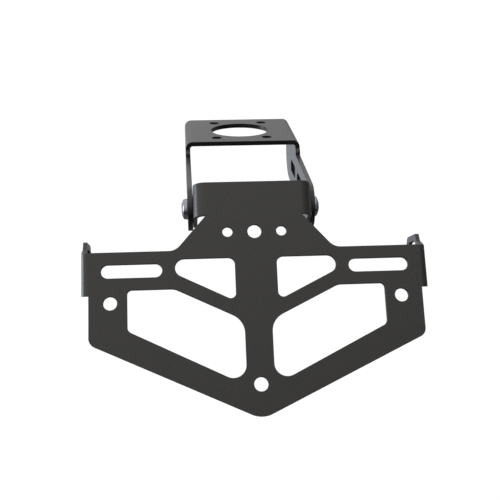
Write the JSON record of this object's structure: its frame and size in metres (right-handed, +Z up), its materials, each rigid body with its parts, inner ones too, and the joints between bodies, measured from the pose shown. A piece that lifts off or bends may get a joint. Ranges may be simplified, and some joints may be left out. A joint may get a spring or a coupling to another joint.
{
  "type": "tail tidy",
  "caption": "Folded sheet bracket with two arms that carries a tilting number plate holder with windows, slots and indicator tabs on two pivot bolts.",
  "frame": {"origin": "centre of the large round hole, on the upper face of the top plate", "axes": "+X to the right, +Y away from the viewer toward the front of the motorbike, +Z up"},
  "size_m": [0.2116, 0.2373, 0.1267],
  "materials": {
    "bracket_coat": "satin black powder coat on steel sheet",
    "holder_coat": "satin black powder coat on steel sheet",
    "bolt_steel": "bright zinc plate"
  },
  "bodies": {
    "bracket": {"upper_bracket": "bracket_coat"},
    "holder": {"plate_holder": "holder_coat", "pivot_bolt_left": "bolt_steel", "pivot_bolt_right": "bolt_steel"}
  },
  "joints": [
    {"name": "plate_tilt", "type": "hinge", "parent": "bracket", "child": "holder", "pos_m": [0, -0.103, -0.0281], "axis": [1, 0, 0], "range_deg": [-40, 34.2]}
  ]
}
